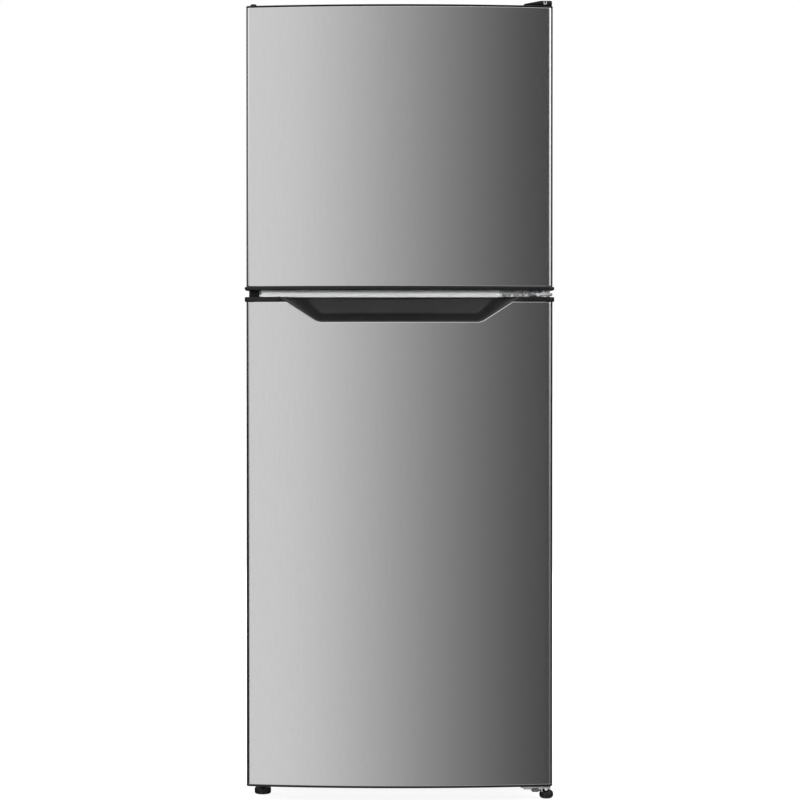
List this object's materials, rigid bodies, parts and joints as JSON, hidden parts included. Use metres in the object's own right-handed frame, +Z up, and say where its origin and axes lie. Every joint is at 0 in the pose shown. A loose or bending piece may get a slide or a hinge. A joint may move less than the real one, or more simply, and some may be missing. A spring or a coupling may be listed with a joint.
{
  "type": "top freezer refrigerator",
  "caption": "Free-standing refrigerator with a freezer door above a taller fridge door, crowned brushed-steel fronts, a recessed finger pocket and hinges on the right.",
  "frame": {"origin": "middle of the outer box, on the floor that the feet and rollers stand on", "axes": "+Z up, -Y out through the doors towards the user, +X to the user's right, where the doors are hinged"},
  "size_m": [0.5546, 0.55, 1.4362],
  "materials": {
    "cabinet_paint": "satin silver-grey paint",
    "galvanised_sheet": "matt spangled zinc",
    "foam": "matt",
    "liner_plastic": "semi-gloss",
    "silver_trim": "satin",
    "zinc_plate": "bright zinc",
    "black_plastic": "fine texture",
    "compressor_paint": "semi-gloss",
    "copper": "drawn tube",
    "aluminium_fins": "mill finish",
    "clear_plastic": "clear, polished",
    "shelf_glass": "clear, polished",
    "stainless_steel": "vertical brushed grain",
    "gasket_rubber": "matt"
  },
  "bodies": {
    "cabinet": {"left_side_panel": "cabinet_paint", "right_side_panel": "cabinet_paint", "top_panel": "cabinet_paint", "rear_panel": "galvanised_sheet", "base_tray": "galvanised_sheet", "insulation_foam": "foam", "freezer_liner": "liner_plastic", "fridge_liner": "liner_plastic", "mullion_trim": "silver_trim", "top_hinge_bracket": "zinc_plate", "top_hinge_cover": "black_plastic", "middle_hinge_bracket": "zinc_plate", "bottom_hinge_bracket": "zinc_plate", "hinge_hole_cover": "black_plastic", "rear_left_roller_bracket": "galvanised_sheet", "rear_right_roller_bracket": "galvanised_sheet", "compressor_plate": "galvanised_sheet", "compressor": "compressor_paint", "starter_relay_box": "black_plastic", "drain_pan": "black_plastic", "suction_line": "copper", "discharge_line": "copper", "power_cord_gland": "black_plastic", "evaporator_cover": "liner_plastic", "evaporator": "aluminium_fins", "fan_motor": "galvanised_sheet", "freezer_shelf": "liner_plastic", "air_duct": "liner_plastic", "control_housing": "liner_plastic", "light_lens": "clear_plastic", "upper_glass_shelf": "shelf_glass", "lower_glass_shelf": "shelf_glass", "crisper_cover": "shelf_glass"},
    "freezer_door": {"freezer_door_skin": "stainless_steel", "freezer_door_top_cap": "black_plastic", "freezer_door_bottom_cap": "black_plastic", "freezer_door_foam": "foam", "freezer_door_liner": "liner_plastic", "freezer_door_gasket": "gasket_rubber", "freezer_door_upper_bin": "clear_plastic", "freezer_door_lower_bin": "clear_plastic", "hinge_hole_plug": "black_plastic"},
    "fridge_door": {"fridge_door_skin": "stainless_steel", "fridge_door_top_cap": "black_plastic", "fridge_door_bottom_cap": "black_plastic", "handle_pocket": "black_plastic", "fridge_door_foam": "foam", "fridge_door_liner": "liner_plastic", "fridge_door_gasket": "gasket_rubber", "fridge_door_upper_bin": "clear_plastic", "fridge_door_middle_bin": "clear_plastic", "fridge_door_bottle_bin": "clear_plastic"},
    "crisper_drawer": {"crisper_drawer": "clear_plastic"},
    "thermostat_knob": {"thermostat_knob": "liner_plastic"},
    "freezer_knob": {"freezer_knob": "liner_plastic"},
    "evaporator_fan": {"evaporator_fan": "black_plastic"},
    "rear_left_roller": {"rear_left_roller": "black_plastic"},
    "rear_right_roller": {"rear_right_roller": "black_plastic"},
    "front_left_foot": {"front_left_foot": "black_plastic"},
    "front_right_foot": {"front_right_foot": "black_plastic"}
  },
  "joints": [
    {"name": "freezer_door_hinge", "type": "hinge", "parent": "cabinet", "child": "freezer_door", "pos_m": [0.259, -0.233, 1.167], "axis": [0, 0, 1], "range_deg": [0, 120]},
    {"name": "fridge_door_hinge", "type": "hinge", "parent": "cabinet", "child": "fridge_door", "pos_m": [0.259, -0.233, 0.467], "axis": [0, 0, 1], "range_deg": [0, 120]},
    {"name": "crisper_slide", "type": "slide", "parent": "cabinet", "child": "crisper_drawer", "axis": [0, -1, 0], "range_m": [0, 0.18]},
    {"name": "thermostat_turn", "type": "hinge", "parent": "cabinet", "child": "thermostat_knob", "pos_m": [0.062, -0.105, 0.848], "axis": [0, -1, 0], "range_deg": [0, 270]},
    {"name": "freezer_knob_turn", "type": "hinge", "parent": "cabinet", "child": "freezer_knob", "pos_m": [0.15, 0.15, 1.322], "axis": [0, -1, 0], "range_deg": [0, 270]},
    {"name": "fan_spin", "type": "hinge", "parent": "cabinet", "child": "evaporator_fan", "pos_m": [0, 0.177, 1.262], "axis": [0, 1, 0], "continuous": true},
    {"name": "rear_left_roller_spin", "type": "hinge", "parent": "cabinet", "child": "rear_left_roller", "pos_m": [-0.236, 0.238, 0.013], "axis": [1, 0, 0], "continuous": true},
    {"name": "rear_right_roller_spin", "type": "hinge", "parent": "cabinet", "child": "rear_right_roller", "pos_m": [0.236, 0.238, 0.013], "axis": [1, 0, 0], "continuous": true},
    {"name": "front_left_foot_turn", "type": "hinge", "parent": "cabinet", "child": "front_left_foot", "pos_m": [-0.249, -0.186, 0.02], "axis": [0, 0, 1], "continuous": true},
    {"name": "front_right_foot_turn", "type": "hinge", "parent": "cabinet", "child": "front_right_foot", "pos_m": [0.2645, -0.233, 0.02], "axis": [0, 0, 1], "continuous": true}
  ],
  "couplings": [
    {"joint": "crisper_slide", "follows": "fridge_door_hinge", "m_per_rad": 0.0859}
  ]
}
